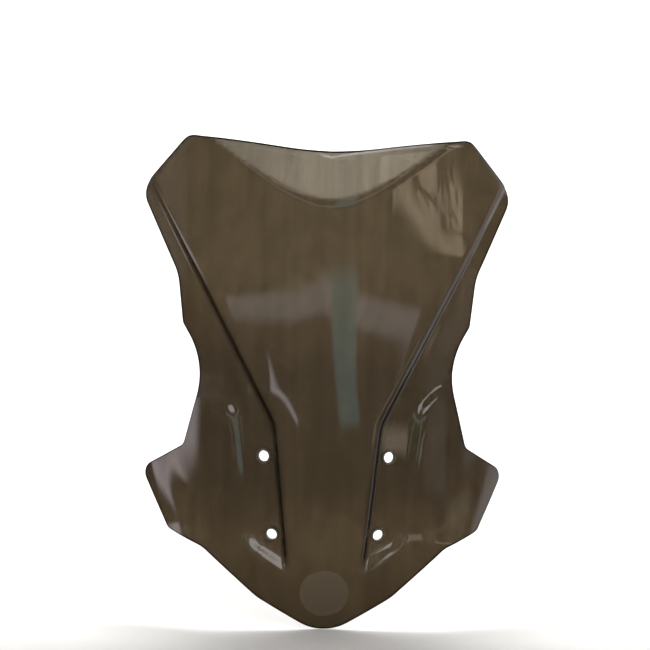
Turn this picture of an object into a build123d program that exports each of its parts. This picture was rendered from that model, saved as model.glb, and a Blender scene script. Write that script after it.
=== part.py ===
from build123d import *
import math
import os

# Touring windscreen for an adventure motorcycle, in millimetres.
# X runs across the screen, Z runs up along it, and the front looks along -Y.
# The origin is the middle of the four mounting holes, on the front surface of the centre panel.
# Every shape below is mirrored in the plane X = 0, so "a" is a distance sideways from that plane.

# ---- driving dimensions ----
SHEET_THICKNESS = 3.0

HOLE_RISE = 80.0  # between the lower and the upper pair
UPPER_HOLE_SPACING = 128.0
LOWER_HOLE_SPACING = 109.0
SHELL_HOLE_DIAMETER = 13.0

# Half of the outline, from the notch at the top to the nose at the bottom: (sideways, up, corner radius)
OUTLINE_CORNERS = [
    (0.0, 347.0, 300.0),  # notch in the middle of the top edge
    (149.5, 373.0, 16.0),  # top corner
    (201.0, 317.0, 26.0),  # side corner below the chamfer
    (157.5, 225.5, 60.0),
    (152.0, 174.0, 8.0),  # neck
    (127.0, 132.0, 85.0),  # waist
    (149.5, 47.0, 10.0),
    (197.2, 18.0, 14.0),  # wing tip
    (165.0, -42.5, 9.0),
    (127.0, -57.5, 30.0),
    (69.5, -106.0, 60.0),
    (0.0, -145.5, 50.0),  # nose
]

# Bow of the centre line: y = square * t^2 - cube * t^3, with t measured up from BOW_CREST
BOW_CREST = 60.0
BOW_SQUARE = 5.4e-4
BOW_CUBE = 8.7e-7

# Sideways wrap: the radius that the sheet is bent to, high up and low down
UPPER_WRAP_RADIUS = 320.0
LOWER_WRAP_RADIUS = 215.0
WRAP_CHANGE = (110.0, 250.0)  # heights between which the radius changes

# Step around the raised centre panel. It leans outward going up and is nearly upright below its bend.
BEND_HALF_WIDTH = 55.0
BEND_HEIGHT = 72.0
UPPER_LEAN = 0.535  # sideways per millimetre up
LOWER_LEAN = 0.098
BEND_SOFTNESS = 5.0
STEP_DEPTH = 9.0
STEP_WALL_ANGLE = 62.0  # degrees, at its steepest
STEP_SHOULDER = 9.0  # radius that the panel's edge is rounded to
STEP_FILLET = 3.2  # radius at the foot of the wall
STEP_TOP_SHARE = 0.55  # of the depth that is left where the step meets the side corners
STEP_TAPER = (190.0, 320.0)

# Trough outside the step, which holds the mounting holes
TROUGH_DEPTH = 6.5  # below the wing beside it
TROUGH_EDGE = 83.2  # half-width of its outer wall's middle, level with the origin
TROUGH_LEAN = 0.13
TROUGH_WALL = 8.0  # half the width of the outer wall
TROUGH_TURN = 0.95  # the outer wall turns away sideways above TROUGH_TURN_HEIGHT
TROUGH_TURN_HEIGHT = 90.0
TROUGH_TURN_SOFTNESS = 10.0
TROUGH_TOP = (96.0, 124.0)  # heights between which the outer wall fades out
TROUGH_END_HEIGHT = -72.0  # lower end wall, beside the step
TROUGH_END_SLOPE = 0.63
TROUGH_END_START = 40.0
TROUGH_END_STOP = 85.0
TROUGH_END_WALL = 9.0

# Kicked lip above a smile-shaped bend
SMILE_HEIGHT = 304.0
SMILE_ROUND = 27.0
SMILE_SLOPE = 0.6
SMILE_CURVE = 9e-4
LIP_BEND = 12.0
LIP_SLOPE = 0.23

# Rolled rim along the top edge and the chamfer
RIM_WIDTH = 8.0
RIM_ROLL = 2.0

# Wing blade: it folds forward along one line and rolls back along its outer edge
WING_FOLD = 40.0
WING_FOLD_SOFTNESS = 8.0
WING_FOLD_SLOPE = 0.30
WING_ROLL = 22.0
WING_ROLL_SLOPE = 0.35

# Soft ring in each mounting hole
GROMMET_BORE_DIAMETER = 11.0
GROMMET_NECK_DIAMETER = 12.9
GROMMET_FLANGE_DIAMETER = 15.6
GROMMET_FLANGE = 0.9
SEAT_DIAMETER = 16.4
SEAT_DEPTH = 0.3

# Badge on the nose
EMBLEM_DIAMETER = 50.0
EMBLEM_HEIGHT = -99.0
EMBLEM_THICKNESS = 0.8
GLUE_GAP = 0.05

# Extent and spacing of the stations that the curved faces are drawn through
SURFACE_HALF_WIDTH = 210.0
SURFACE_BOTTOM = -158.0
SURFACE_TOP = 384.0
ROW_SPACING = 6.0
LIP_ROW_SPACING = 3.6
LIP_START = 286.0
INNER_COLUMNS = 10
OUTER_COLUMNS = 16
STEP_OFFSETS = [-14.0, -11.0, -9.2, -7.6, -6.0, -4.4, -2.9, -1.6, -0.5, 0.5, 1.5, 2.6, 3.8, 5.2, 7.4, 10.5, 14.0]
WIDEST_STEP_COLUMN = 180.0
FINE_LENGTH = 0.05  # for slopes by differences


# ---- small curves ----
def ramp(value, start, end):
    """0 before start, 1 after end, and a smooth S between them."""
    share = min(max((value - start) / (end - start), 0.0), 1.0)
    return share * share * (3.0 - 2.0 * share)


def soft_positive(value, softness):
    """Nearly 0 for negative values and nearly the value itself for positive ones."""
    return 0.5 * (value + math.sqrt(value * value + softness * softness))


def inside_line(a, z, start, end):
    """Distance from the line through two outline corners, positive towards the middle of the screen."""
    run = end[0] - start[0]
    rise = end[1] - start[1]
    return ((z - start[1]) * run - (a - start[0]) * rise) / math.hypot(run, rise)


# ---- terms of the front surface ----
def bow(z):
    t = z - BOW_CREST
    return t * t * (BOW_SQUARE - BOW_CUBE * t)


def wrap(a, z):
    radius = LOWER_WRAP_RADIUS + (UPPER_WRAP_RADIUS - LOWER_WRAP_RADIUS) * ramp(z, *WRAP_CHANGE)
    return a**2 / (2 * radius) + a**4 / (8 * radius**3)


def step_half_width(z):
    t = z - BEND_HEIGHT
    mean = (UPPER_LEAN + LOWER_LEAN) / 2
    change = (UPPER_LEAN - LOWER_LEAN) / 2
    return BEND_HALF_WIDTH + mean * t + change * math.hypot(t, BEND_SOFTNESS)


def step_lean(z):
    t = z - BEND_HEIGHT
    mean = (UPPER_LEAN + LOWER_LEAN) / 2
    change = (UPPER_LEAN - LOWER_LEAN) / 2
    return mean + change * t / math.hypot(t, BEND_SOFTNESS)


def step_share(outside):
    """Share of the step's depth at a distance outside the middle of its wall."""
    angle = math.radians(STEP_WALL_ANGLE)
    shoulder = STEP_SHOULDER * math.sin(angle)
    fillet = STEP_FILLET * math.sin(angle)
    rounded = (STEP_SHOULDER + STEP_FILLET) * (1.0 - math.cos(angle))
    wall = (STEP_DEPTH - rounded) / math.tan(angle)
    over_shoulder = min(max(outside + wall / 2 + shoulder, 0.0), shoulder)
    down_wall = min(max(outside + wall / 2, 0.0), wall)
    to_flat = min(max(wall / 2 + fillet - outside, 0.0), fillet)
    fall = STEP_SHOULDER - math.sqrt(STEP_SHOULDER**2 - over_shoulder**2)
    fall += down_wall * math.tan(angle)
    fall += math.sqrt(STEP_FILLET**2 - to_flat**2) - STEP_FILLET * math.cos(angle)
    return fall / STEP_DEPTH


def relief(a, z):
    """Depth below the centre panel: the step, and the trough with its outer and end walls."""
    step = step_share((a - step_half_width(z)) / math.hypot(1.0, step_lean(z)))
    depth = STEP_DEPTH * (1.0 - (1.0 - STEP_TOP_SHARE) * ramp(z, *STEP_TAPER))
    turn = TROUGH_TURN * soft_positive(z - TROUGH_TURN_HEIGHT, TROUGH_TURN_SOFTNESS)
    edge = TROUGH_EDGE + TROUGH_LEAN * z + turn
    outer_wall = ramp(a, edge - TROUGH_WALL, edge + TROUGH_WALL) * (1.0 - ramp(z, *TROUGH_TOP))
    sideways = min(max(a, TROUGH_END_START), TROUGH_END_STOP) - TROUGH_END_START
    above_end = z - TROUGH_END_HEIGHT - TROUGH_END_SLOPE * sideways
    end_wall = ramp(above_end / math.hypot(1.0, TROUGH_END_SLOPE), -TROUGH_END_WALL, TROUGH_END_WALL)
    return step * (depth - TROUGH_DEPTH * outer_wall) * end_wall


def smile_height(a):
    return SMILE_HEIGHT + math.hypot(SMILE_ROUND, SMILE_SLOPE * a) - SMILE_ROUND + SMILE_CURVE * a**2


def lip(a, z):
    above = z - smile_height(a) + LIP_BEND
    if above <= 0.0:
        return 0.0
    if above < LIP_BEND:
        return -LIP_SLOPE * above**2 / (2 * LIP_BEND)
    return -LIP_SLOPE * (above - LIP_BEND / 2)


def rim(a, z):
    top = inside_line(a, z, OUTLINE_CORNERS[1][:2], OUTLINE_CORNERS[0][:2])
    chamfer = inside_line(a, z, OUTLINE_CORNERS[2][:2], OUTLINE_CORNERS[1][:2])
    nearest = max(min(top, chamfer), -RIM_WIDTH / 2)
    return RIM_ROLL * max(1.0 - nearest / RIM_WIDTH, 0.0) ** 2


def wing(a, z):
    inside = inside_line(a, z, OUTLINE_CORNERS[8][:2], OUTLINE_CORNERS[7][:2])
    fold = WING_FOLD_SLOPE * soft_positive(WING_FOLD - inside, WING_FOLD_SOFTNESS)
    roll = WING_ROLL_SLOPE * max(WING_ROLL - inside, 0.0) ** 2 / (2 * WING_ROLL)
    return roll - fold


def front_depth(x, z):
    """How far the front surface lies behind the plane Y = 0."""
    a = abs(x)
    return bow(z) + wrap(a, z) + relief(a, z) + lip(a, z) + rim(a, z) + wing(a, z)


DATUM = front_depth(0.0, 0.0)


def front_point(x, z):
    return Vector(x, front_depth(x, z) - DATUM, z)


def front_normal(x, z):
    """Unit normal of the front surface, pointing forwards."""
    across = front_point(x + FINE_LENGTH, z) - front_point(x - FINE_LENGTH, z)
    up = front_point(x, z + FINE_LENGTH) - front_point(x, z - FINE_LENGTH)
    return across.cross(up).normalized()


def buried_point(x, z, depth):
    """Point at a depth behind the front surface, or in front of it where the depth is negative."""
    return front_point(x, z) - front_normal(x, z) * depth


# ---- sheets bounded by curved faces ----
def row_heights():
    below = round((LIP_START - SURFACE_BOTTOM) / ROW_SPACING)
    above = round((SURFACE_TOP - LIP_START) / LIP_ROW_SPACING)
    heights = [SURFACE_BOTTOM + (LIP_START - SURFACE_BOTTOM) * i / below for i in range(below)]
    return heights + [LIP_START + (SURFACE_TOP - LIP_START) * i / above for i in range(above + 1)]


def column_positions(z):
    """Sideways places of the stations in one row. They crowd together along the step."""
    step = min(step_half_width(z), WIDEST_STEP_COLUMN)
    first = step + STEP_OFFSETS[0]
    last = step + STEP_OFFSETS[-1]
    half = [first * (i + 0.5) / (INNER_COLUMNS + 0.5) for i in range(INNER_COLUMNS)]
    half += [step + offset for offset in STEP_OFFSETS]
    half += [last + (SURFACE_HALF_WIDTH - last) * (i + 1) / OUTER_COLUMNS for i in range(OUTER_COLUMNS)]
    return [-a for a in reversed(half)] + half


def drawn_face(rows):
    """Smooth face through rows of points. All rows share one spacing, so that the face doesn't ripple."""
    travelled = [0.0]
    for j in range(1, len(rows[0])):
        travelled.append(travelled[-1] + sum((row[j] - row[j - 1]).length for row in rows))
    shares = [length / travelled[-1] for length in travelled]
    curves = [Wire([Edge.make_spline(row, parameters=shares)]) for row in rows]
    return Shell.make_loft(curves).faces()[0]


def slab(front_rows, back_rows):
    """Closed solid between two faces drawn through matching rows of points."""
    front = drawn_face(front_rows)
    back = drawn_face(back_rows)
    faces = [front, back]
    for edge in front.edges():
        partner = back.edges().sort_by_distance(edge @ 0.5)[0]
        faces.append(Face.make_surface_from_curves(edge, partner))
    return Solid(Shell(Face.sew_faces(faces)[0]))


def outline_wire():
    """Outline of the screen, seen square on: straight runs joined by arcs of the listed radii."""
    right = [(a, z) for a, z, _ in OUTLINE_CORNERS]
    left = [(-a, z) for a, z, _ in reversed(OUTLINE_CORNERS[1:-1])]
    radii = [radius for _, _, radius in OUTLINE_CORNERS]
    radii += list(reversed(radii[1:-1]))
    wire = Wire.make_polygon([Vector(a, 0.0, z) for a, z in right + left], close=True)
    places = right + left
    for (a, z), radius in zip(places, radii):
        corner = wire.vertices().sort_by_distance(Vector(a, 0.0, z))[0]
        wire = wire.fillet_2d(radius, [corner])
    return wire


def hole_places():
    upper = UPPER_HOLE_SPACING / 2
    lower = LOWER_HOLE_SPACING / 2
    return {
        "upper_left": (-upper, HOLE_RISE / 2),
        "upper_right": (upper, HOLE_RISE / 2),
        "lower_left": (-lower, -HOLE_RISE / 2),
        "lower_right": (lower, -HOLE_RISE / 2),
    }


def hole_plane(x, z):
    """Plane in the middle of the sheet at a mounting hole, facing forwards along the hole's axis."""
    return Plane(origin=buried_point(x, z, SHEET_THICKNESS / 2), z_dir=front_normal(x, z))


def hole_cutter():
    """What is taken out for one ring: the hole itself and a flat seat on each face."""
    web = SHEET_THICKNESS / 2 - SEAT_DEPTH
    cutter = Cylinder(SHELL_HOLE_DIAMETER / 2, 4 * SHEET_THICKNESS)
    for side in (-1, 1):
        seat = Cylinder(SEAT_DIAMETER / 2, SHEET_THICKNESS)
        cutter += Pos(0, 0, side * (web + SHEET_THICKNESS / 2)) * seat
    return cutter


def windscreen_shell():
    rows = row_heights()
    places = [[(a, z) for a in column_positions(z)] for z in rows]
    front_rows = [[front_point(a, z) for a, z in row] for row in places]
    back_rows = [[buried_point(a, z, SHEET_THICKNESS) for a, z in row] for row in places]
    blank = slab(front_rows, back_rows)
    reach = 400.0
    cutter = extrude(Face(outline_wire()), reach, dir=(0, 1, 0), both=True)
    shell = blank & cutter
    for x, z in hole_places().values():
        shell -= hole_plane(x, z) * hole_cutter()
    return shell


def grommet(x, z):
    """Soft ring: a neck through the hole and a flange on each face, rounded at its outer rims."""
    web = SHEET_THICKNESS / 2 - SEAT_DEPTH
    half_length = web + GROMMET_FLANGE
    ring = Cylinder(GROMMET_NECK_DIAMETER / 2, 2 * half_length)
    for side in (-1, 1):
        flange = Cylinder(GROMMET_FLANGE_DIAMETER / 2, GROMMET_FLANGE)
        ring += Pos(0, 0, side * (web + GROMMET_FLANGE / 2)) * flange
    ring -= Cylinder(GROMMET_BORE_DIAMETER / 2, 3 * half_length)
    faces = ring.faces().filter_by(Axis.Z).sort_by(Axis.Z)
    rims = [face.outer_wire().edges()[0] for face in (faces[0], faces[-1])]
    ring = fillet(rims, GROMMET_FLANGE / 2)
    return hole_plane(x, z) * ring


def emblem_disc():
    """Blank badge, bent to the nose and held a glue line clear of it."""
    reach = EMBLEM_DIAMETER / 2 + 4.0
    stations = 9
    steps = [reach * (2 * i / (stations - 1) - 1) for i in range(stations)]
    places = [[(x, EMBLEM_HEIGHT + dz) for x in steps] for dz in steps]
    outer = [[buried_point(x, z, -GLUE_GAP - EMBLEM_THICKNESS) for x, z in row] for row in places]
    inner = [[buried_point(x, z, -GLUE_GAP) for x, z in row] for row in places]
    axis = Plane(origin=front_point(0.0, EMBLEM_HEIGHT), z_dir=front_normal(0.0, EMBLEM_HEIGHT))
    return slab(outer, inner) & (axis * Cylinder(EMBLEM_DIAMETER / 2, EMBLEM_DIAMETER))


os.makedirs("parts", exist_ok=True)
nodes = {"windscreen_shell": windscreen_shell(), "emblem_disc": emblem_disc()}
for place, (x, z) in hole_places().items():
    nodes[f"grommet_{place}"] = grommet(x, z)
for name, shape in nodes.items():
    export_step(shape, f"parts/{name}.step")
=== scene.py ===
import math

import bmesh
import bpy
import numpy as np
from mathutils import Matrix, Vector
from mathutils.geometry import delaunay_2d_cdt
from mathutils.kdtree import KDTree


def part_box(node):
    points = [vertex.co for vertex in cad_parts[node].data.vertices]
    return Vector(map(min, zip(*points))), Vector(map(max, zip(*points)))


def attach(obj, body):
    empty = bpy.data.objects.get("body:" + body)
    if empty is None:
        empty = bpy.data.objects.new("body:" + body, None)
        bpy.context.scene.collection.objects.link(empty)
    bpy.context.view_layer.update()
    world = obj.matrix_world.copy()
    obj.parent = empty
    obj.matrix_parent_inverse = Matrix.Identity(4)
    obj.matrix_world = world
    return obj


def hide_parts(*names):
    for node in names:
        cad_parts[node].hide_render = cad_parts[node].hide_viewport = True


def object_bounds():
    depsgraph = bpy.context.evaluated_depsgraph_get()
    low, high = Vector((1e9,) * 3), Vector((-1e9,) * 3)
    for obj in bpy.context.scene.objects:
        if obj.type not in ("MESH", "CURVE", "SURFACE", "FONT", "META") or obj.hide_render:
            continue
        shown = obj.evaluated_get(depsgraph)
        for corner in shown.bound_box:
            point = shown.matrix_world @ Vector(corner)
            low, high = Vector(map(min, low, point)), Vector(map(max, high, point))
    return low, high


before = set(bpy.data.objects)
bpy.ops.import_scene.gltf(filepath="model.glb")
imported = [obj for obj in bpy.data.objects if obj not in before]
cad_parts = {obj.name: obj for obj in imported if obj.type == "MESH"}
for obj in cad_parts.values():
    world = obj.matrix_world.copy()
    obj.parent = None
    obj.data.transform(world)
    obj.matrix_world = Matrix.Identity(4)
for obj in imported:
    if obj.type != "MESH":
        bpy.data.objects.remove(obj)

CAD_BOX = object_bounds()
MM = 0.001

# ---- the screen's own dimensions, in millimetres, as the model states them ----
# "a" is a distance sideways from the middle plane, z runs up, and the front looks along -Y.
SHEET_THICKNESS = 3.0
HOLE_RISE = 80.0
UPPER_HOLE_SPACING = 128.0
LOWER_HOLE_SPACING = 109.0
SHELL_HOLE_DIAMETER = 13.0
SEAT_DIAMETER = 16.4
SEAT_DEPTH = 0.3

OUTLINE_CORNERS = [
    (0.0, 347.0, 300.0),  # notch in the middle of the top edge
    (149.5, 373.0, 16.0),  # top corner
    (201.0, 317.0, 26.0),  # side corner below the chamfer
    (157.5, 225.5, 60.0),
    (152.0, 174.0, 8.0),  # neck
    (127.0, 132.0, 85.0),  # waist
    (149.5, 47.0, 10.0),
    (197.2, 18.0, 14.0),  # wing tip
    (165.0, -42.5, 9.0),
    (127.0, -57.5, 30.0),
    (69.5, -106.0, 60.0),
    (0.0, -145.5, 50.0),  # nose
]

BOW_CREST = 60.0
BOW_SQUARE = 5.4e-4
BOW_CUBE = 8.7e-7
UPPER_WRAP_RADIUS = 320.0
LOWER_WRAP_RADIUS = 215.0
WRAP_CHANGE = (110.0, 250.0)

BEND_HALF_WIDTH = 55.0
BEND_HEIGHT = 72.0
UPPER_LEAN = 0.535
LOWER_LEAN = 0.098
BEND_SOFTNESS = 5.0
STEP_DEPTH = 9.0
STEP_WALL_ANGLE = 62.0
STEP_SHOULDER = 9.0
STEP_FILLET = 3.2
STEP_TOP_SHARE = 0.55
STEP_TAPER = (190.0, 320.0)

TROUGH_DEPTH = 6.5
TROUGH_EDGE = 83.2
TROUGH_LEAN = 0.13
TROUGH_WALL = 8.0
TROUGH_TURN = 0.95
TROUGH_TURN_HEIGHT = 90.0
TROUGH_TURN_SOFTNESS = 10.0
TROUGH_TOP = (96.0, 124.0)
TROUGH_END_HEIGHT = -72.0
TROUGH_END_SLOPE = 0.63
TROUGH_END_START = 40.0
TROUGH_END_STOP = 85.0
TROUGH_END_WALL = 9.0

SMILE_HEIGHT = 304.0
SMILE_ROUND = 27.0
SMILE_SLOPE = 0.6
SMILE_CURVE = 9e-4
LIP_BEND = 12.0
LIP_SLOPE = 0.23
RIM_WIDTH = 8.0
RIM_ROLL = 2.0

WING_FOLD = 40.0
WING_FOLD_SOFTNESS = 8.0
WING_FOLD_SLOPE = 0.30
WING_ROLL = 22.0
WING_ROLL_SLOPE = 0.35

GROMMET_BORE_DIAMETER = 11.0
GROMMET_NECK_DIAMETER = 12.9
GROMMET_FLANGE_DIAMETER = 15.6
GROMMET_FLANGE = 0.9
EMBLEM_DIAMETER = 50.0
EMBLEM_HEIGHT = -99.0
EMBLEM_THICKNESS = 0.8
GLUE_GAP = 0.05

# ---- how finely the pieces are drawn ----
ROW_SPACING = 2.8
INNER_COLUMNS = 26
OUTER_COLUMNS = 38
STEP_REACH = 12.8
STEP_SPACING = 0.8
WIDEST_STEP_COLUMN = 178.0
EDGE_SPACING = 1.4
EDGE_SIDES = 7
HOLE_SIDES = 56
BAND_CLEARANCE = 1.3
EDGE_ROUND = SHEET_THICKNESS / 2
RING_SIDES = 64
BADGE_SIDES = 96
BADGE_FLAT_RINGS = 22
BADGE_BACK_RINGS = 8

# ---- the badge's rounded rim and fine raised ring ----
BADGE_ROUND = 0.35
BADGE_RING_RADIUS = 0.86 * EMBLEM_DIAMETER / 2
BADGE_RING_WIDTH = 0.7
BADGE_RING_HEIGHT = 0.2

# ---- the smoke: how much light it lets through, from 0 to 1, with painted light and painted shade laid in, and where that changes ----
NECK_CLEARNESS = 0.30
PANEL_PAINTED_LIGHT = (0.22, 105.0, 240.0)  # painted light on the upper panel: extra, from this height up to this one
NOSE_PAINTED_LIGHT = (0.24, 20.0, -60.0)  # painted light on the nose: extra, from this height down to this one
# painted light: the outer wings, low down, are made clearer
WING_PAINTED_LIGHT = 0.08
# painted light: the kicked lip is painted paler, lightest in its middle
LIP_PAINTED_TINT = 0.265
LIP_MIDDLE_PAINTED_LIGHT = 0.12
LIP_MIDDLE_WIDTH = 72.0
# painted shade: a darker line under the bend of the lip
BEND_PAINTED_SHADE = 0.08
# painted shade: the sheet outside the step is made darker
OUTSIDE_PAINTED_SHADE = 0.10
# painted shade: the step's wall, seen edge on, is painted darker
STEP_WALL_PAINTED_SHADE = 2.6
SMOKE_COLOUR = (0.465, 0.362, 0.18)
SMOKE_DENSITY = 500.0
BROWN_SMOKE = (0.273, 0.227, 0.165)
ACRYLIC_IOR = 1.49
VINYL_IOR = 1.46


# ---- curves of the front surface ----
def ramp(value, start, end):
    """0 before start, 1 after end, and a smooth S between them."""
    share = np.clip((value - start) / (end - start), 0.0, 1.0)
    return share * share * (3.0 - 2.0 * share)


def soft_positive(value, softness):
    """Nearly 0 for negative values and nearly the value itself for positive ones."""
    return 0.5 * (value + np.hypot(value, softness))


def inside_line(a, z, start, end):
    """Distance from the line through two outline corners, positive towards the middle of the screen."""
    run = end[0] - start[0]
    rise = end[1] - start[1]
    return ((z - start[1]) * run - (a - start[0]) * rise) / math.hypot(run, rise)


def bow(z):
    t = z - BOW_CREST
    return t * t * (BOW_SQUARE - BOW_CUBE * t)


def wrap(a, z):
    radius = LOWER_WRAP_RADIUS + (UPPER_WRAP_RADIUS - LOWER_WRAP_RADIUS) * ramp(z, *WRAP_CHANGE)
    return a**2 / (2 * radius) + a**4 / (8 * radius**3)


def step_half_width(z):
    t = z - BEND_HEIGHT
    mean = (UPPER_LEAN + LOWER_LEAN) / 2
    change = (UPPER_LEAN - LOWER_LEAN) / 2
    return BEND_HALF_WIDTH + mean * t + change * np.hypot(t, BEND_SOFTNESS)


def step_lean(z):
    t = z - BEND_HEIGHT
    mean = (UPPER_LEAN + LOWER_LEAN) / 2
    change = (UPPER_LEAN - LOWER_LEAN) / 2
    return mean + change * t / np.hypot(t, BEND_SOFTNESS)


def step_share(outside):
    """Share of the step's depth at a distance outside the middle of its wall."""
    angle = math.radians(STEP_WALL_ANGLE)
    shoulder = STEP_SHOULDER * math.sin(angle)
    fillet = STEP_FILLET * math.sin(angle)
    rounded = (STEP_SHOULDER + STEP_FILLET) * (1.0 - math.cos(angle))
    wall = (STEP_DEPTH - rounded) / math.tan(angle)
    over_shoulder = np.clip(outside + wall / 2 + shoulder, 0.0, shoulder)
    down_wall = np.clip(outside + wall / 2, 0.0, wall)
    to_flat = np.clip(wall / 2 + fillet - outside, 0.0, fillet)
    fall = STEP_SHOULDER - np.sqrt(STEP_SHOULDER**2 - over_shoulder**2)
    fall = fall + down_wall * math.tan(angle)
    fall = fall + np.sqrt(STEP_FILLET**2 - to_flat**2) - STEP_FILLET * math.cos(angle)
    return fall / STEP_DEPTH


def relief(a, z):
    """Depth below the centre panel: the step, and the trough with its outer and end walls."""
    step = step_share((a - step_half_width(z)) / np.hypot(1.0, step_lean(z)))
    depth = STEP_DEPTH * (1.0 - (1.0 - STEP_TOP_SHARE) * ramp(z, *STEP_TAPER))
    turn = TROUGH_TURN * soft_positive(z - TROUGH_TURN_HEIGHT, TROUGH_TURN_SOFTNESS)
    edge = TROUGH_EDGE + TROUGH_LEAN * z + turn
    outer_wall = ramp(a, edge - TROUGH_WALL, edge + TROUGH_WALL) * (1.0 - ramp(z, *TROUGH_TOP))
    sideways = np.clip(a, TROUGH_END_START, TROUGH_END_STOP) - TROUGH_END_START
    above_end = z - TROUGH_END_HEIGHT - TROUGH_END_SLOPE * sideways
    end_wall = ramp(above_end / math.hypot(1.0, TROUGH_END_SLOPE), -TROUGH_END_WALL, TROUGH_END_WALL)
    return step * (depth - TROUGH_DEPTH * outer_wall) * end_wall


def smile_height(a):
    return SMILE_HEIGHT + np.hypot(SMILE_ROUND, SMILE_SLOPE * a) - SMILE_ROUND + SMILE_CURVE * a**2


def lip(a, z):
    above = np.maximum(z - smile_height(a) + LIP_BEND, 0.0)
    bend = above**2 / (2 * LIP_BEND)
    return -LIP_SLOPE * np.where(above < LIP_BEND, bend, above - LIP_BEND / 2)


def rim(a, z):
    top = inside_line(a, z, OUTLINE_CORNERS[1][:2], OUTLINE_CORNERS[0][:2])
    chamfer = inside_line(a, z, OUTLINE_CORNERS[2][:2], OUTLINE_CORNERS[1][:2])
    nearest = np.maximum(np.minimum(top, chamfer), -RIM_WIDTH / 2)
    return RIM_ROLL * np.maximum(1.0 - nearest / RIM_WIDTH, 0.0) ** 2


def wing(a, z):
    inside = inside_line(a, z, OUTLINE_CORNERS[8][:2], OUTLINE_CORNERS[7][:2])
    fold = WING_FOLD_SLOPE * soft_positive(WING_FOLD - inside, WING_FOLD_SOFTNESS)
    roll = WING_ROLL_SLOPE * np.maximum(WING_ROLL - inside, 0.0) ** 2 / (2 * WING_ROLL)
    return roll - fold


def front_depth(x, z):
    """How far the front surface lies behind the plane Y = 0."""
    a = np.abs(x)
    return bow(z) + wrap(a, z) + relief(a, z) + lip(a, z) + rim(a, z) + wing(a, z)


DATUM = float(front_depth(np.array([0.0]), np.array([0.0]))[0])


def front_points(places):
    """Points of the front surface over (x, z) places."""
    x, z = places[:, 0], places[:, 1]
    return np.stack([x, front_depth(x, z) - DATUM, z], axis=1)


def front_normals(places, fine=0.05):
    """Unit normals of the front surface, pointing forwards."""
    x, z = places[:, 0], places[:, 1]
    across = (front_depth(x + fine, z) - front_depth(x - fine, z)) / (2 * fine)
    up = (front_depth(x, z + fine) - front_depth(x, z - fine)) / (2 * fine)
    normals = np.stack([across, -np.ones_like(x), up], axis=1)
    return normals / np.linalg.norm(normals, axis=1, keepdims=True)


def buried_points(places, depth):
    return front_points(places) - front_normals(places) * depth


# ---- outline of the screen, seen square on ----
def rounded_loop(corners, spacing):
    """Closed outline of straight runs joined by arcs, as points and outward normals, both in (x, z)."""
    points, outward = [], []
    count = len(corners)
    starts, ends, arcs = [], [], []
    for i in range(count):
        here = np.array(corners[i][:2])
        before = np.array(corners[i - 1][:2]) - here
        after = np.array(corners[(i + 1) % count][:2]) - here
        before /= np.linalg.norm(before)
        after /= np.linalg.norm(after)
        half_angle = math.acos(float(np.clip(before @ after, -1, 1))) / 2
        reach = corners[i][2] / math.tan(half_angle)
        middle = before + after
        centre = here + middle / np.linalg.norm(middle) * (corners[i][2] / math.sin(half_angle))
        starts.append(here + before * reach)
        ends.append(here + after * reach)
        arcs.append(centre)
    for i in range(count):
        first = starts[i] - arcs[i]
        last = ends[i] - arcs[i]
        angle = math.atan2(first[0] * last[1] - first[1] * last[0], float(first @ last))
        steps = max(3, round(abs(angle) * corners[i][2] / spacing))
        for k in range(steps + 1):
            turn = angle * k / steps
            c, s = math.cos(turn), math.sin(turn)
            spoke = np.array([first[0] * c - first[1] * s, first[0] * s + first[1] * c])
            points.append(arcs[i] + spoke)
            outward.append(spoke / np.linalg.norm(spoke) * (1 if angle < 0 else -1))
        run = starts[(i + 1) % count] - ends[i]
        length = np.linalg.norm(run)
        steps = max(1, round(length / spacing))
        side = np.array([-run[1], run[0]]) / length
        for k in range(1, steps):
            points.append(ends[i] + run * k / steps)
            outward.append(side)
    return np.array(points), np.array(outward)


def full_corners():
    left = [(-a, z, radius) for a, z, radius in reversed(OUTLINE_CORNERS[1:-1])]
    return OUTLINE_CORNERS + left


# ---- mounting holes ----
def hole_places():
    places = {}
    for level, spacing, height in (
        ("upper", UPPER_HOLE_SPACING, HOLE_RISE / 2),
        ("lower", LOWER_HOLE_SPACING, -HOLE_RISE / 2),
    ):
        places[f"{level}_left"] = np.array([-spacing / 2, height])
        places[f"{level}_right"] = np.array([spacing / 2, height])
    return places


def axes_at(place):
    """Point in the middle of the sheet, the direction out of its front, and two directions across it."""
    spot = place.reshape(1, 2)
    out = front_normals(spot)[0]
    middle = buried_points(spot, SHEET_THICKNESS / 2)[0]
    across = np.cross([0.0, 0.0, 1.0], out)
    across /= np.linalg.norm(across)
    return middle, out, across, np.cross(out, across)


def ring_on_sheet(place, radius, depth, sides):
    """Places whose points, at a depth in the sheet, lie on a cylinder about the hole's axis."""
    middle, _, across, up = axes_at(place)
    turn = np.linspace(0, 2 * math.pi, sides, endpoint=False)
    target = radius * np.stack([np.cos(turn), np.sin(turn)], axis=1)
    places = place + target
    for _ in range(12):
        reached = buried_points(places, depth) - middle
        error = target - np.stack([reached @ across, reached @ up], axis=1)
        places = places + error
    return places


def ring_in_space(place, radius, along, sides):
    middle, out, across, up = axes_at(place)
    turn = np.linspace(0, 2 * math.pi, sides, endpoint=False)[:, None]
    return middle + out * along + radius * (np.cos(turn) * across + np.sin(turn) * up)


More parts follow.
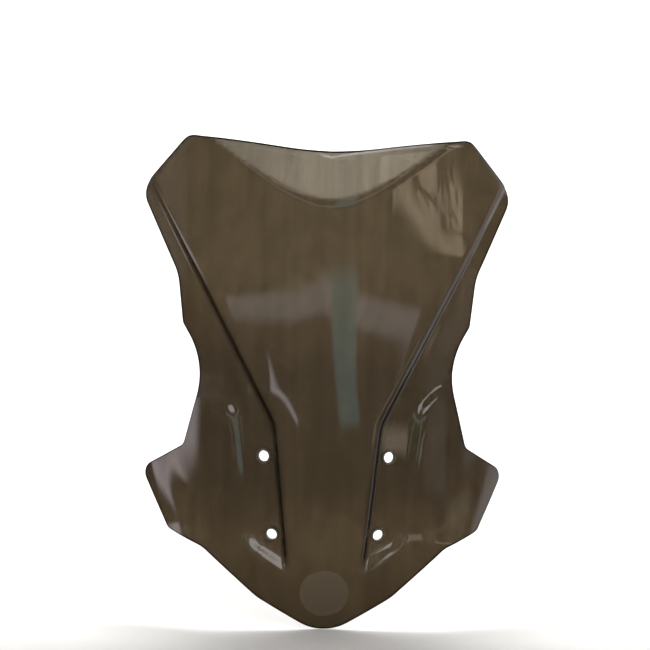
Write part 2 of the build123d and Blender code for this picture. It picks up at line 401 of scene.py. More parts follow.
# ---- a mesh put together from patches that share points ----
class Patchwork:
    """Points and faces, with a normal for each face corner, so that curved faces shine smoothly."""

    def __init__(self):
        self.points = []
        self.faces = []
        self.normals = []

    def add_points(self, points):
        first = len(self.points)
        self.points.extend(map(tuple, points))
        return np.arange(first, first + len(points))

    def add_face(self, corners, normals):
        self.faces.append([int(c) for c in corners])
        self.normals.extend(tuple(float(v) for v in n) for n in normals)

    def add_strip(self, lower, upper, lower_normals, upper_normals):
        """Closed band of four-sided faces between two loops of equal length."""
        count = len(lower)
        for i in range(count):
            j = (i + 1) % count
            self.add_face(
                [lower[i], lower[j], upper[j], upper[i]],
                [lower_normals[i], lower_normals[j], upper_normals[j], upper_normals[i]],
            )

    def finish(self, name, material):
        mesh = bpy.data.meshes.new(name)
        mesh.from_pydata([[v * MM for v in p] for p in self.points], [], self.faces)
        mesh.shade_smooth()
        mesh.normals_split_custom_set(self.normals)
        mesh.materials.append(material)
        mesh.update()
        piece = bpy.data.objects.new(name, mesh)
        bpy.context.scene.collection.objects.link(piece)
        return piece


def inside_loops(places, loops):
    """Even-odd test of places against closed loops of points."""
    inside = np.zeros(len(places), bool)
    x, z = places[:, 0], places[:, 1]
    for loop in loops:
        x0, z0 = loop[:, 0], loop[:, 1]
        x1, z1 = np.roll(x0, -1), np.roll(z0, -1)
        for i in range(len(loop)):
            crosses = (z0[i] > z) != (z1[i] > z)
            if not crosses.any():
                continue
            at = x0[i] + (z - z0[i]) * (x1[i] - x0[i]) / (z1[i] - z0[i] + 1e-12)
            inside ^= crosses & (x < at)
    return inside


def sheet_columns(z):
    """Sideways stations of each row, from the far left to the far right. They crowd along the step."""
    step = np.minimum(step_half_width(z), WIDEST_STEP_COLUMN)[:, None]
    first = step - STEP_REACH
    last = step + STEP_REACH
    limit = max(corner[0] for corner in OUTLINE_CORNERS) + 4.0
    inner = first * np.linspace(0.0, 1.0, INNER_COLUMNS, endpoint=False)[None, :]
    band = step + np.arange(-STEP_REACH, STEP_REACH + 0.01, STEP_SPACING)[None, :]
    outer = last + (limit - last) * np.linspace(0.0, 1.0, OUTER_COLUMNS + 1)[None, 1:]
    half = np.concatenate([inner, band, outer], axis=1)
    return np.concatenate([-half[:, :0:-1], half], axis=1)


def boundary_distance(places, loop, outward):
    """Distance inside a loop, from its nearest point, positive on the inner side."""
    tree = KDTree(len(loop))
    for i, (x, z) in enumerate(loop):
        tree.insert((x, z, 0.0), i)
    tree.balance()
    nearest = np.array([tree.find((x, z, 0.0))[1] for x, z in places])
    return np.einsum("ij,ij->i", loop[nearest] - places, outward[nearest])


def sheet_layout(outer_loop, outward, hole_loops):
    """Places and faces that fill the outline and leave the holes out.
    Whole cells of the grid are kept, and the strip between them and the loops is triangulated."""
    bottom, top = outer_loop[:, 1].min(), outer_loop[:, 1].max()
    rows = np.linspace(bottom - 2.0, top + 2.0, round((top - bottom + 4.0) / ROW_SPACING))
    columns = sheet_columns(rows)
    tall, wide = columns.shape
    grid = np.stack([columns, np.repeat(rows[:, None], wide, axis=1)], axis=2).reshape(-1, 2)
    clear = boundary_distance(grid, outer_loop, outward) > BAND_CLEARANCE
    for loop in hole_loops:
        centre = loop.mean(axis=0)
        reach = np.linalg.norm(loop - centre, axis=1).max() + BAND_CLEARANCE
        clear &= np.linalg.norm(grid - centre, axis=1) > reach
    clear = clear.reshape(tall, wide)
    whole = clear[:-1, :-1] & clear[1:, :-1] & clear[:-1, 1:] & clear[1:, 1:]
    index = np.arange(tall * wide).reshape(tall, wide)
    low = index[:-1, :-1][whole]
    quads = np.stack([low, low + 1, low + wide + 1, low + wide], axis=1)

    edges = {}
    for quad in quads.tolist():
        for i in range(4):
            pair = (quad[i], quad[(i + 1) % 4])
            key = (min(pair), max(pair))
            edges[key] = None if key in edges else pair
    borders = [pair for pair in edges.values() if pair is not None]
    border_points = sorted({p for pair in borders for p in pair})
    local = {p: i for i, p in enumerate(border_points)}

    loops = [outer_loop] + list(hole_loops)
    flat = [tuple(grid[p]) for p in border_points]
    joins = [(local[p], local[q]) for p, q in borders]
    loop_starts = []
    for loop in loops:
        first = len(flat)
        loop_starts.append(first)
        flat += [tuple(p) for p in loop]
        joins += [(first + i, first + (i + 1) % len(loop)) for i in range(len(loop))]
    found = delaunay_2d_cdt([Vector(p) for p in flat], joins, [], 0, 1e-7, True)
    if len(found[0]) != len(flat):
        raise RuntimeError("the strip along the outline crosses itself")
    origin = [ids[0] for ids in found[3]]
    strip = np.array([[origin[v] for v in face] for face in found[2]])
    flat = np.array(flat)
    middles = flat[strip].mean(axis=1)
    keep = inside_loops(middles, loops)

    # a strip triangle is left out where a kept cell already covers it
    row = np.clip(np.searchsorted(rows, middles[:, 1]) - 1, 0, tall - 2)
    share = (middles[:, 1] - rows[row]) / (rows[1] - rows[0])
    line = columns[row] * (1 - share[:, None]) + columns[row + 1] * share[:, None]
    column = np.clip((line < middles[:, :1]).sum(axis=1) - 1, 0, wide - 2)
    keep &= ~whole[row, column]
    strip = strip[keep]

    used = np.unique(quads)
    renumber = {int(p): i for i, p in enumerate(used)}
    places = [grid[p] for p in used]
    strip_to_place = {}
    for p, i in local.items():
        strip_to_place[i] = renumber[p]
    for first, loop in zip(loop_starts, loops):
        for i in range(len(loop)):
            strip_to_place[first + i] = len(places)
            places.append(loop[i])
    faces = [[renumber[p] for p in quad] for quad in quads.tolist()]
    for triangle in strip.tolist():
        a, b, c = flat[triangle]
        if (b[0] - a[0]) * (c[1] - a[1]) - (b[1] - a[1]) * (c[0] - a[0]) < 0:
            triangle = triangle[::-1]
        faces.append([strip_to_place[p] for p in triangle])
    loop_places = [
        [strip_to_place[first + i] for i in range(len(loop))]
        for first, loop in zip(loop_starts, loops)
    ]
    return np.array(places), faces, loop_places


def build_shell(material):
    """The moulded sheet: front and back faces, a rounded edge all round and a flat seat at each hole."""
    outline, outward = rounded_loop(full_corners(), EDGE_SPACING)
    trimmed = outline - outward * EDGE_ROUND
    holes = list(hole_places().values())
    web = SHEET_THICKNESS / 2 - SEAT_DEPTH
    seat_radius = SEAT_DIAMETER / 2
    work = Patchwork()
    loops = {}
    for side, depth in (("front", 0.0), ("back", SHEET_THICKNESS)):
        rings = [ring_on_sheet(place, seat_radius, depth, HOLE_SIDES) for place in holes]
        places, faces, loop_places = sheet_layout(trimmed, outward, rings)
        numbers = work.add_points(buried_points(places, depth))
        normals = front_normals(places) * (1 if side == "front" else -1)
        for face in faces:
            order = face if side == "front" else face[::-1]
            work.add_face(numbers[order], normals[order])
        loops[side] = [numbers[loop] for loop in loop_places]

    # rounded edge: half a circle from the front face to the back one
    out = front_normals(trimmed)
    middle = buried_points(trimmed, SHEET_THICKNESS / 2)
    along = np.roll(middle, -1, axis=0) - np.roll(middle, 1, axis=0)
    sideways = np.cross(out, along)
    sideways /= np.linalg.norm(sideways, axis=1, keepdims=True)
    plan = np.einsum("ij,ij->i", sideways[:, [0, 2]], outward)
    sideways *= np.sign(plan)[:, None]
    previous, previous_normals = loops["front"][0], out
    for k in range(1, EDGE_SIDES + 1):
        turn = math.pi * k / EDGE_SIDES
        normals = math.cos(turn) * out + math.sin(turn) * sideways
        if k < EDGE_SIDES:
            ring = work.add_points(middle + EDGE_ROUND * normals)
        else:
            ring = loops["back"][0]
        work.add_strip(ring, previous, normals, previous_normals)
        previous, previous_normals = ring, normals

    # seats and walls of the holes
    for number, place in enumerate(holes):
        _, axis, across, up = axes_at(place)
        turn = np.linspace(0, 2 * math.pi, HOLE_SIDES, endpoint=False)[:, None]
        inward = -(np.cos(turn) * across + np.sin(turn) * up)
        forward = np.repeat(axis[None, :], HOLE_SIDES, axis=0)
        front_ring = loops["front"][1 + number]
        back_ring = loops["back"][1 + number]
        wide_front = work.add_points(ring_in_space(place, seat_radius, web, HOLE_SIDES))
        thin_front = work.add_points(ring_in_space(place, SHELL_HOLE_DIAMETER / 2, web, HOLE_SIDES))
        thin_back = work.add_points(ring_in_space(place, SHELL_HOLE_DIAMETER / 2, -web, HOLE_SIDES))
        wide_back = work.add_points(ring_in_space(place, seat_radius, -web, HOLE_SIDES))
        work.add_strip(front_ring, wide_front, inward, inward)
        work.add_strip(wide_front, thin_front, forward, forward)
        work.add_strip(thin_front, thin_back, inward, inward)
        work.add_strip(thin_back, wide_back, -forward, -forward)
        work.add_strip(wide_back, back_ring, inward, inward)
    spots = np.array(work.points)
    spots[:, 1] = np.maximum(spots[:, 1], CAD_BOX[0][1] / MM)
    work.points = list(spots)
    piece = work.finish("moulded_screen", material)
    # the stored tint values carry painted light and painted shade laid into the smoke
    for name, rule in (("smoke_and_painted_light", smoke_and_painted_light_of), ("lip_painted_light", lip_painted_light_of)):
        attribute = piece.data.attributes.new(name, "FLOAT", "POINT")
        attribute.data.foreach_set("value", rule(spots[:, 0], spots[:, 2]).astype(np.float32))
    return piece


def badge_ring_offsets():
    """Distances from the badge's middle at which its face is drawn: flat part, raised ring and rim."""
    flat = np.linspace(0, 1, BADGE_FLAT_RINGS) * (BADGE_RING_RADIUS - 2.0)
    raised = BADGE_RING_RADIUS + np.linspace(-1.6, 1.6, 13)
    radius = EMBLEM_DIAMETER / 2
    return np.concatenate([flat, raised, [radius - 1.2, radius - BADGE_ROUND]])


def flat_directions(spots, place):
    """Directions away from a place, with no depth, and their lengths."""
    spread = spots - place
    directions = np.stack([spread[:, 0], np.zeros(len(spots)), spread[:, 1]], axis=1)
    return directions, np.linalg.norm(directions, axis=1, keepdims=True)


def close_with_fan(work, middle, middle_normal, loop, normals):
    """Triangles between one point and a loop round it."""
    count = len(loop)
    for i in range(count):
        j = (i + 1) % count
        work.add_face([middle, loop[i], loop[j]], [middle_normal, normals[i], normals[j]])


def build_emblem(material):
    """Blank badge with a rounded rim and one fine raised ring."""
    radius = EMBLEM_DIAMETER / 2
    place = np.array([0.0, EMBLEM_HEIGHT])
    centre = place.reshape(1, 2)
    face_depth = -(GLUE_GAP + EMBLEM_THICKNESS - BADGE_RING_HEIGHT)
    out = front_normals(centre)[0]
    work = Patchwork()
    middle = work.add_points(buried_points(centre, face_depth))[0]
    loops, normals = [], []
    for r in badge_ring_offsets()[1:]:
        off_ring = r - BADGE_RING_RADIUS
        raise_by = BADGE_RING_HEIGHT * math.exp(-((off_ring / BADGE_RING_WIDTH) ** 2))
        slope = -2 * off_ring / BADGE_RING_WIDTH**2 * raise_by
        depth = face_depth - raise_by
        spots = ring_on_sheet(place, r, depth, BADGE_SIDES)
        outward = flat_directions(spots, place)[0] / r
        tilted = front_normals(spots) - slope * outward
        loops.append(work.add_points(buried_points(spots, depth)))
        normals.append(tilted / np.linalg.norm(tilted, axis=1, keepdims=True))
    close_with_fan(work, middle, out, loops[0], normals[0])
    for k in range(len(loops) - 1):
        work.add_strip(loops[k + 1], loops[k], normals[k + 1], normals[k])

    rim_depth = face_depth + BADGE_ROUND
    rim_spots = ring_on_sheet(place, radius, rim_depth, BADGE_SIDES)
    sideways, lengths = flat_directions(rim_spots, place)
    sideways /= lengths
    shoulder = work.add_points(buried_points(rim_spots, rim_depth))
    foot_spots = ring_on_sheet(place, radius, -GLUE_GAP, BADGE_SIDES)
    foot = work.add_points(buried_points(foot_spots, -GLUE_GAP))
    work.add_strip(shoulder, loops[-1], sideways, normals[-1])
    work.add_strip(foot, shoulder, sideways, sideways)

    back_middle = work.add_points(buried_points(centre, -GLUE_GAP))[0]
    outer, outer_normals = foot, -front_normals(foot_spots)
    for r in np.linspace(radius, 0, BADGE_BACK_RINGS + 1)[1:-1]:
        spots = ring_on_sheet(place, r, -GLUE_GAP, BADGE_SIDES)
        here, here_normals = work.add_points(buried_points(spots, -GLUE_GAP)), -front_normals(spots)
        work.add_strip(here, outer, here_normals, outer_normals)
        outer, outer_normals = here, here_normals
    close_with_fan(work, back_middle, -out, outer[::-1], outer_normals[::-1])
    return work.finish("blank_badge", material)


# ---- soft rings, turned by one geometry tree ----
def ring_tree():
    """Turns a profile about the ring's own axis. The profile is drawn outwards from the bore, and along
    the axis."""
    tree = bpy.data.node_groups.new("turned_ring", "GeometryNodeTree")
    face = tree.interface
    face.new_socket("Profile", in_out="INPUT", socket_type="NodeSocketGeometry")
    bore = face.new_socket("Bore radius", in_out="INPUT", socket_type="NodeSocketFloat")
    sides = face.new_socket("Sides", in_out="INPUT", socket_type="NodeSocketInt")
    finish = face.new_socket("Finish", in_out="INPUT", socket_type="NodeSocketMaterial")
    face.new_socket("Ring", in_out="OUTPUT", socket_type="NodeSocketGeometry")
    nodes, links = tree.nodes, tree.links
    start = nodes.new("NodeGroupInput")
    end = nodes.new("NodeGroupOutput")
    circle = nodes.new("GeometryNodeCurvePrimitiveCircle")
    outline = nodes.new("GeometryNodeMeshToCurve")
    turn = nodes.new("GeometryNodeCurveToMesh")
    smooth = nodes.new("GeometryNodeSetShadeSmooth")
    realize = nodes.new("GeometryNodeRealizeInstances")
    paint = nodes.new("GeometryNodeSetMaterial")
    links.new(start.outputs["Bore radius"], circle.inputs["Radius"])
    links.new(start.outputs["Sides"], circle.inputs["Resolution"])
    links.new(start.outputs["Profile"], outline.inputs["Mesh"])
    links.new(circle.outputs["Curve"], turn.inputs["Curve"])
    links.new(outline.outputs["Curve"], turn.inputs["Profile Curve"])
    links.new(turn.outputs["Mesh"], smooth.inputs["Geometry"])
    links.new(smooth.outputs["Geometry"], realize.inputs["Geometry"])
    links.new(realize.outputs["Geometry"], paint.inputs["Geometry"])
    links.new(start.outputs["Finish"], paint.inputs["Material"])
    links.new(paint.outputs["Geometry"], end.inputs["Ring"])
    return tree, {"bore": bore.identifier, "sides": sides.identifier, "finish": finish.identifier}


def ring_profile():
    """Section of a soft ring as (out from the bore, along the axis), with all its corners rounded."""
    bore = GROMMET_BORE_DIAMETER / 2
    neck = GROMMET_NECK_DIAMETER / 2 - bore
    flange = GROMMET_FLANGE_DIAMETER / 2 - bore
    web = SHEET_THICKNESS / 2 - SEAT_DEPTH
    half = web + GROMMET_FLANGE
    corners = [
        (0.0, -half, 0.4),
        (flange, -half, 0.42),
        (flange, -web, 0.2),
        (neck, -web, 0.05),
        (neck, web, 0.05),
        (flange, web, 0.2),
        (flange, half, 0.42),
        (0.0, half, 0.4),
    ]
    return rounded_loop(corners[::-1], 0.35)[0]


def build_grommet(name, place, tree, sockets, material):
    """One soft ring, turned from its section and then set square to the sheet in its hole."""
    section = ring_profile() * MM
    mesh = bpy.data.meshes.new("ring_section")
    count = len(section)
    runs = [(i, (i + 1) % count) for i in range(count)]
    mesh.from_pydata([(r, a, 0.0) for r, a in section], runs, [])
    holder = bpy.data.objects.new("ring_section", mesh)
    bpy.context.scene.collection.objects.link(holder)
    turned = holder.modifiers.new("turned_ring", "NODES")
    turned.node_group = tree
    turned[sockets["bore"]] = GROMMET_BORE_DIAMETER / 2 * MM
    turned[sockets["sides"]] = RING_SIDES
    turned[sockets["finish"]] = material
    bpy.context.view_layer.update()
    made = holder.evaluated_get(bpy.context.evaluated_depsgraph_get())
    ring = bpy.data.meshes.new_from_object(made)
    bpy.data.objects.remove(holder)
    bpy.data.meshes.remove(mesh)

    _, out, across, up = axes_at(place)
    pose = Matrix.Identity(4)
    for column, direction in enumerate((across, up, out)):
        for row in range(3):
            pose[row][column] = direction[row]
    low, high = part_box(f"grommet_{name}")
    for row in range(3):
        pose[row][3] = (low[row] + high[row]) / 2
    ring.transform(pose)
    tidy = bmesh.new()
    tidy.from_mesh(ring)
    bmesh.ops.remove_doubles(tidy, verts=tidy.verts, dist=1e-6)
    bmesh.ops.recalc_face_normals(tidy, faces=tidy.faces)
    tidy.to_mesh(ring)
    tidy.free()
    ring.shade_smooth()
    ring.name = f"soft_ring_{name}"
    piece = bpy.data.objects.new(f"soft_ring_{name}", ring)
    bpy.context.scene.collection.objects.link(piece)
    return piece


# ---- materials ----
def new_material(name):
    material = bpy.data.materials.new(name)
    material.use_nodes = True
    nodes = material.node_tree.nodes
    nodes.clear()
    output = nodes.new("ShaderNodeOutputMaterial")
    surface = nodes.new("ShaderNodeBsdfPrincipled")
    material.node_tree.links.new(surface.outputs["BSDF"], output.inputs["Surface"])
    return material, nodes, material.node_tree.links, surface, output


def object_space(nodes, links, scale):
    """Object coordinates, stretched by a scale for each direction."""
    where = nodes.new("ShaderNodeTexCoord")
    stretch = nodes.new("ShaderNodeMapping")
    stretch.inputs["Scale"].default_value = scale
    links.new(where.outputs["Object"], stretch.inputs["Vector"])
    return stretch.outputs["Vector"]


def noise(nodes, links, vector, scale, detail=4.0, roughness=0.55, distortion=0.0):
    texture = nodes.new("ShaderNodeTexNoise")
    texture.inputs["Scale"].default_value = scale
    texture.inputs["Detail"].default_value = detail
    texture.inputs["Roughness"].default_value = roughness
    texture.inputs["Distortion"].default_value = distortion
    links.new(vector, texture.inputs["Vector"])
    return texture.outputs["Fac"]


def remap(nodes, links, value, from_low, from_high, to_low, to_high):
    change = nodes.new("ShaderNodeMapRange")
    change.clamp = True
    change.inputs["From Min"].default_value = from_low
    change.inputs["From Max"].default_value = from_high
    change.inputs["To Min"].default_value = to_low
    change.inputs["To Max"].default_value = to_high
    links.new(value, change.inputs["Value"])
    return change.outputs["Result"]


def product(nodes, links, first, second):
    times = nodes.new("ShaderNodeMath")
    times.operation = "MULTIPLY"
    links.new(first, times.inputs[0])
    links.new(second, times.inputs[1])
    return times.outputs["Value"]


def from_mesh(nodes, name):
    """Value that the mesh stores at each of its points."""
    stored = nodes.new("ShaderNodeAttribute")
    stored.attribute_name = name
    return stored.outputs["Fac"]


def colour_between(nodes, links, share, dark, light):
    blend = nodes.new("ShaderNodeMix")
    blend.data_type = "RGBA"
    blend.inputs[6].default_value = (*dark, 1.0)
    blend.inputs[7].default_value = (*light, 1.0)
    links.new(share, blend.inputs[0])
    return blend.outputs[2]


def bump(nodes, links, height, surface, strength, distance):
    relief_node = nodes.new("ShaderNodeBump")
    relief_node.inputs["Strength"].default_value = strength
    relief_node.inputs["Distance"].default_value = distance
    links.new(height, relief_node.inputs["Height"])
    links.new(relief_node.outputs["Normal"], surface.inputs["Normal"])


def smoked_acrylic():
    """Clear plastic tinted through its thickness and on its faces. Its face tint carries painted shade,
    darker round the neck, and painted light, paler in the kicked lip, with faint flow lines from the mould
    and light scuffs."""
    material, nodes, links, surface, output = new_material("smoked_acrylic")
    surface.inputs["Transmission Weight"].default_value = 1.0
    surface.inputs["IOR"].default_value = ACRYLIC_IOR
    streaks = noise(nodes, links, object_space(nodes, links, (1.0, 0.3, 0.045)), 95.0, 3.0, 0.5)
    swirls = noise(nodes, links, object_space(nodes, links, (1.0, 0.5, 0.55)), 16.0, 2.0, 0.5, 2.6)
    streak_shade = remap(nodes, links, streaks, 0.3, 0.7, 0.84, 1.0)
    swirl_shade = remap(nodes, links, swirls, 0.35, 0.62, 0.84, 1.0)
    shade = product(nodes, links, streak_shade, swirl_shade)
    # the stored tint holds painted light and painted shade as well as the smoke
    shade = product(nodes, links, shade, from_mesh(nodes, "smoke_and_painted_light"))
    # painted light: the lip's hue is mixed towards white
    hue = colour_between(nodes, links, from_mesh(nodes, "lip_painted_light"), BROWN_SMOKE, (1.0, 1.0, 1.0))
    tint = nodes.new("ShaderNodeMix")
    tint.data_type = "RGBA"
    tint.inputs[6].default_value = (0.0, 0.0, 0.0, 1.0)
    links.new(shade, tint.inputs[0])
    links.new(hue, tint.inputs[7])
    links.new(tint.outputs[2], surface.inputs["Base Color"])
    scuffs = noise(nodes, links, object_space(nodes, links, (1.0, 1.0, 0.4)), 42.0, 6.0, 0.62)
    links.new(remap(nodes, links, scuffs, 0.42, 0.75, 0.02, 0.08), surface.inputs["Roughness"])
    ripple = noise(nodes, links, object_space(nodes, links, (1.0, 1.0, 0.5)), 24.0, 1.0, 0.4)
    bump(nodes, links, ripple, surface, 0.35, 0.0006)
    smoke = nodes.new("ShaderNodeVolumeAbsorption")
    smoke.inputs["Color"].default_value = (*SMOKE_COLOUR, 1.0)
    smoke.inputs["Density"].default_value = SMOKE_DENSITY
    links.new(smoke.outputs["Volume"], output.inputs["Volume"])
    return material


def lip_painted_light_of(x, z):
    """1 in the kicked lip, which is painted paler and lighter as painted light, and 0 in the rest of the
    screen.
    """
    return ramp(z - smile_height(np.abs(x)), -3.0, 1.0)


def smoke_and_painted_light_of(x, z):
    """How much light the smoke's surface tint lets through, with painted light and painted shade laid into
    it.
    """
    a = np.abs(x)
    above_bend = z - smile_height(a)
    outside_step = a - step_half_width(z)
    # painted light: the upper panel and the nose are made clearer than the neck
    more, start, end = PANEL_PAINTED_LIGHT
    clear = NECK_CLEARNESS + more * ramp(z, start, end)
    more, start, end = NOSE_PAINTED_LIGHT
    clear = clear + more * ramp(z, start, end)
    # painted light: the outer wings, low down, are made clearer
    clear = clear + WING_PAINTED_LIGHT * ramp(a, 105.0, 150.0) * ramp(z, 60.0, 20.0)
    # painted shade: a darker line is painted just under the bend of the lip
    clear = clear * (1.0 - BEND_PAINTED_SHADE * ramp(above_bend, -13.0, -9.0) * ramp(above_bend, 1.0, -3.0))
    # painted light: the kicked lip takes its own paler tint
    lip_share = lip_painted_light_of(x, z)
    lip_tint_with_painted_light = LIP_PAINTED_TINT + LIP_MIDDLE_PAINTED_LIGHT * np.exp(-((a / LIP_MIDDLE_WIDTH) ** 2))
    clear = clear * (1.0 - lip_share) + lip_share * lip_tint_with_painted_light
    # painted shade: the sheet outside the step is made darker
    clear = clear * (1.0 - OUTSIDE_PAINTED_SHADE * ramp(outside_step, 0.0, 3.0))
    # painted shade: the wall of the step, seen edge on, is painted darker, down to the end of the trough
    share = step_share(outside_step)
    reach = (1.0 - 0.5 * ramp(z, *STEP_TAPER)) * ramp(z, -80.0, -59.0)
    return clear * (1.0 - STEP_WALL_PAINTED_SHADE * share * (1.0 - share) * reach)


def badge_acrylic():
    """Clear, faintly smoked plastic with a satin face."""
    material, nodes, links, surface, _ = new_material("emblem_acrylic")
    surface.inputs["Transmission Weight"].default_value = 1.0
    surface.inputs["IOR"].default_value = ACRYLIC_IOR
    cloud = noise(nodes, links, object_space(nodes, links, (1.0, 1.0, 1.0)), 120.0, 4.0)
    tint = colour_between(nodes, links, cloud, (0.86, 0.83, 0.76), (0.99, 0.97, 0.92))
    links.new(tint, surface.inputs["Base Color"])
    links.new(remap(nodes, links, cloud, 0.3, 0.7, 0.06, 0.13), surface.inputs["Roughness"])
    bump(nodes, links, cloud, surface, 0.2, 0.0002)
    return material


def soft_vinyl():
    """Translucent smoke vinyl with a fine grain in its tint."""
    material, nodes, links, surface, _ = new_material("soft_vinyl")
    surface.inputs["Transmission Weight"].default_value = 0.55
    surface.inputs["IOR"].default_value = VINYL_IOR
    grain = noise(nodes, links, object_space(nodes, links, (1.0, 1.0, 1.0)), 900.0, 5.0)
    tint = colour_between(nodes, links, grain, (0.10, 0.085, 0.06), (0.2, 0.175, 0.13))
    links.new(tint, surface.inputs["Base Color"])
    links.new(remap(nodes, links, grain, 0.3, 0.7, 0.22, 0.42), surface.inputs["Roughness"])
    bump(nodes, links, grain, surface, 0.25, 0.0001)
    return material


def plain_material(name, colour, roughness):
    material, _, _, surface, _ = new_material(name)
    surface.inputs["Base Color"].default_value = (*colour, 1.0)
    surface.inputs["Roughness"].default_value = roughness
    surface.inputs["Specular IOR Level"].default_value = 0.2
    return material


# ---- stage ----
def build_floor():
    """Pale floor that sweeps up into a backdrop. The screen mirrors the room's panels and not the floor."""
    floor_height = float(CAD_BOX[0][2])
    front, turn_at, wall, top = -1.0, 0.9, 1.7, 3.2
    radius = wall - turn_at
    half_width = 2.5
    arc_steps = 16
    profile = [(front, 0.0), (turn_at, 0.0)]
    for k in range(1, arc_steps + 1):
        angle = math.pi / 2 * k / arc_steps
        profile.append((turn_at + radius * math.sin(angle), radius * (1 - math.cos(angle))))
    profile.append((wall, top))
    points = [(x, y, floor_height + h) for y, h in profile for x in (-half_width, half_width)]
    faces = [(2 * i, 2 * i + 1, 2 * i + 3, 2 * i + 2) for i in range(len(profile) - 1)]
    mesh = bpy.data.meshes.new("floor")
    mesh.from_pydata(points, [], faces)
    mesh.shade_smooth()
    mesh.materials.append(plain_material("studio_paper", (0.86, 0.86, 0.85), 0.9))
    floor = bpy.data.objects.new("floor", mesh)
    floor.visible_glossy = False
    bpy.context.scene.collection.objects.link(floor)


def aim(thing, target):
    direction = Vector(target) - thing.location
    thing.rotation_euler = direction.to_track_quat("-Z", "Y").to_euler()


def area_light(name, place, target, size, power):
    data = bpy.data.lights.new(name, "AREA")
    data.shape = "RECTANGLE"
    data.size, data.size_y = size
    data.energy = power
    lamp = bpy.data.objects.new(name, data)
    lamp.location = place
    bpy.context.scene.collection.objects.link(lamp)
    aim(lamp, target)


class Surroundings:
    """World whose brightness is a dim room plus soft-edged panels, each placed by its bearing and height in
    degrees. A bearing is 0 straight in front of the screen and grows towards +X."""

    def __init__(self):
        self.world = bpy.data.worlds.new("studio")
        self.world.use_nodes = True
        self.nodes = self.world.node_tree.nodes
        self.links = self.world.node_tree.links
        self.nodes.clear()
        self.direction = self.nodes.new("ShaderNodeTexCoord").outputs["Generated"]
        split = self.nodes.new("ShaderNodeSeparateXYZ")
        self.links.new(self.direction, split.inputs[0])
        forward = self.maths("MULTIPLY", split.outputs["Y"], -1.0)
        self.bearing = self.maths("ARCTAN2", split.outputs["X"], forward)
        self.bearing = self.maths("MULTIPLY", self.bearing, 180.0 / math.pi)
        self.height = self.maths("ARCSINE", split.outputs["Z"])
        self.height = self.maths("MULTIPLY", self.height, 180.0 / math.pi)
        self.total = None

    def maths(self, operation, first, second=None, third=None):
        node = self.nodes.new("ShaderNodeMath")
        node.operation = operation
        for socket, value in zip(node.inputs, (first, second, third)):
            if value is None:
                continue
            if isinstance(value, (int, float)):
                socket.default_value = value
            else:
                self.links.new(value, socket)
        return node.outputs[0]

    def edge(self, value, low, high):
        """0 below low and 1 above high, or the other way round where high is under low."""
        node = self.nodes.new("ShaderNodeMapRange")
        node.interpolation_type = "SMOOTHSTEP"
        node.inputs["From Min"].default_value = low
        node.inputs["From Max"].default_value = high
        self.links.new(value, node.inputs["Value"])
        return node.outputs["Result"]

    def panel(self, bearings, heights, colour, soft=2.0, slant=0.0, arch=None, mottle=None):
        """Soft panel. Slant moves it sideways with height. Arch is (bearing of its crown, fall, square fall):
        both falls lower it away from the crown. Mottle, (per degree along, per degree up), breaks it into
        blotches."""
        sideways = self.maths("MULTIPLY_ADD", self.height, -slant, self.bearing)
        level = self.height
        if arch:
            away = self.maths("ABSOLUTE", self.maths("ADD", self.bearing, -arch[0]))
            level = self.maths("MULTIPLY_ADD", away, arch[1], level)
            level = self.maths("MULTIPLY_ADD", self.maths("MULTIPLY", away, away), arch[2], level)
        share = self.edge(sideways, bearings[0] - soft, bearings[0] + soft)
        right = self.edge(sideways, bearings[1] + soft, bearings[1] - soft)
        share = self.maths("MULTIPLY", share, right)
        rise = min(soft, (heights[1] - heights[0]) / 2)
        low = self.edge(level, heights[0] - rise, heights[0] + rise)
        high = self.edge(level, heights[1] + rise, heights[1] - rise)
        share = self.maths("MULTIPLY", share, low)
        share = self.maths("MULTIPLY", share, high)
        if mottle:
            spot = self.nodes.new("ShaderNodeCombineXYZ")
            self.links.new(self.maths("MULTIPLY", sideways, mottle[0]), spot.inputs[0])
            self.links.new(self.maths("MULTIPLY", level, mottle[1]), spot.inputs[1])
            blotch = self.nodes.new("ShaderNodeTexNoise")
            blotch.inputs["Scale"].default_value = 1.0
            blotch.inputs["Detail"].default_value = 2.0
            blotch.inputs["Distortion"].default_value = 1.0
            self.links.new(spot.outputs[0], blotch.inputs["Vector"])
            share = self.maths("MULTIPLY", share, self.edge(blotch.outputs["Fac"], 0.475, 0.51))
        self.add(share, colour)

    def add(self, share, colour):
        shine = self.nodes.new("ShaderNodeMix")
        shine.data_type = "RGBA"
        shine.inputs[6].default_value = (0.0, 0.0, 0.0, 1.0)
        shine.inputs[7].default_value = (*colour, 1.0)
        self.links.new(share, shine.inputs[0])
        if self.total is None:
            self.total = shine.outputs[2]
            return
        both = self.nodes.new("ShaderNodeVectorMath")
        both.operation = "ADD"
        self.links.new(self.total, both.inputs[0])
        self.links.new(shine.outputs[2], both.inputs[1])
        self.total = both.outputs[0]

    def finish(self):
        """Reflections and soft light see the panels. Looked at straight or through the sheet, the room is
        plain."""
        path = self.nodes.new("ShaderNodeLightPath")
        straight, through = path.outputs["Is Camera Ray"], path.outputs["Is Transmission Ray"]
        seen = self.nodes.new("ShaderNodeMix")
        seen.data_type = "RGBA"
        self.links.new(self.maths("MAXIMUM", straight, through), seen.inputs[0])
        self.links.new(self.total, seen.inputs[6])
        seen.inputs[7].default_value = (0.96, 0.96, 0.95, 1.0)
        background = self.nodes.new("ShaderNodeBackground")
        output = self.nodes.new("ShaderNodeOutputWorld")
        self.links.new(seen.outputs[2], background.inputs["Color"])
        self.links.new(background.outputs[0], output.inputs["Surface"])
        bpy.context.scene.world = self.world


CORNICE_ARCH = (0.0, 0.09, 0.0032)
CURTAIN_ARCH = (30.3, 0.175, 0.0)
CURTAIN_COLOUR = (2.6, 2.2, 1.55)

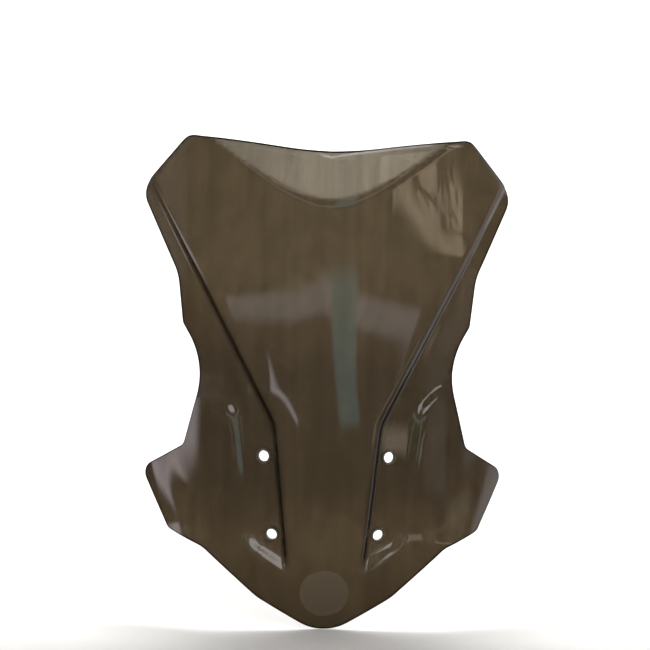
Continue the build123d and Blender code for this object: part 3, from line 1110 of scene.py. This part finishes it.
# what it is: its bearings, its heights, its colour, and how it's shaped
PANELS = {
    "window": ((8.0, 20.3), (-3.0, 14.6), (0.40, 0.92, 0.94), dict(soft=1.3, slant=-0.42)),
    "cornice_left": ((-45.0, 3.0), (11.4, 14.4), (1.05, 1.03, 1.1), dict(soft=0.8, arch=CORNICE_ARCH)),
    "cornice_right": ((15.5, 46.0), (11.4, 14.4), (1.15, 1.12, 1.2), dict(soft=0.8, arch=CORNICE_ARCH)),
    "strip_light": ((-31.5, -15.0), (1.7, 2.8), (3.1, 3.0, 3.3), dict(soft=0.7, arch=(-34.0, 0.0, 0.0135))),
    "left_wing_light": ((-96.0, -76.0), (-8.0, 1.0), (3.1, 2.8, 3.0), dict(soft=3.0)),
    "curtain_edge": ((29.0, 62.0), (17.3, 18.3), CURTAIN_COLOUR, dict(soft=0.5, arch=CURTAIN_ARCH)),
    "curtain": (
        (30.0, 60.5),
        (18.4, 20.4),
        CURTAIN_COLOUR,
        dict(soft=0.5, arch=CURTAIN_ARCH, mottle=(0.13, 1.5)),
    ),
    "curtain_foot": ((36.0, 60.0), (-7.5, -3.5), (1.7, 1.5, 1.15), dict(soft=1.5)),
    "right_wall": ((62.0, 76.0), (-13.0, 3.0), (0.3, 0.28, 0.26), dict(soft=1.5)),
    "left_wall": ((-80.0, -60.0), (-1.0, 30.0), (0.25, 0.24, 0.27), dict(soft=1.5)),
    "right_of_stage": ((90.0, 150.0), (-30.0, 40.0), (0.9, 0.86, 0.9), dict(soft=6.0)),
    "left_of_stage": ((-150.0, -98.0), (-3.0, 40.0), (0.15, 0.15, 0.17), dict(soft=2.0)),
    "ceiling_lamp": ((0.0, 60.0), (21.0, 38.0), (4.5, 4.5, 4.5), dict(soft=3.0)),
}
DIM_ROOM = (0.24, 0.22, 0.20)


def build_lights():
    room = Surroundings()
    room.add(room.edge(room.height, -70.0, 70.0), DIM_ROOM)
    for bearings, heights, colour, shape in PANELS.values():
        room.panel(bearings, heights, colour, **shape)
    room.finish()
    area_light("backdrop_wash", (0.0, 0.6, 2.1), (0.0, 1.75, 1.55), (2.6, 0.4), 62.0)
    area_light("floor_wash", (0.0, 0.75, 1.7), (0.0, 0.3, 0.0), (1.2, 0.4), 16.0)


def build_camera():
    """Camera nearly square on to the front, a little to the left of the middle and very slightly rolled."""
    distance = 1.257
    frame_width = 0.653  # width of the view at that distance
    target = Vector((-0.0044, 0.0, 0.1741))
    turn = math.radians(2.23)
    roll = math.radians(0.99)
    data = bpy.data.cameras.new("camera")
    data.sensor_width = 36.0
    data.lens = data.sensor_width * distance / frame_width
    camera = bpy.data.objects.new("camera", data)
    bpy.context.scene.collection.objects.link(camera)
    camera.location = target + distance * Vector((-math.sin(turn), -math.cos(turn), 0.0))
    aim(camera, target)
    camera.rotation_euler.rotate_axis("Z", roll)
    bpy.context.scene.camera = camera


def main():
    acrylic = smoked_acrylic()
    badge = badge_acrylic()
    vinyl = soft_vinyl()
    shell = build_shell(acrylic)
    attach(shell, "root")
    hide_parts("windscreen_shell")
    emblem = build_emblem(badge)
    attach(emblem, "root")
    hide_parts("emblem_disc")
    tree, sockets = ring_tree()
    for name, place in hole_places().items():
        ring = build_grommet(name, place, tree, sockets, vinyl)
        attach(ring, "root")
        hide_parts(f"grommet_{name}")
    build_floor()
    build_lights()
    build_camera()
    bpy.context.scene.view_settings.view_transform = "Standard"


main()
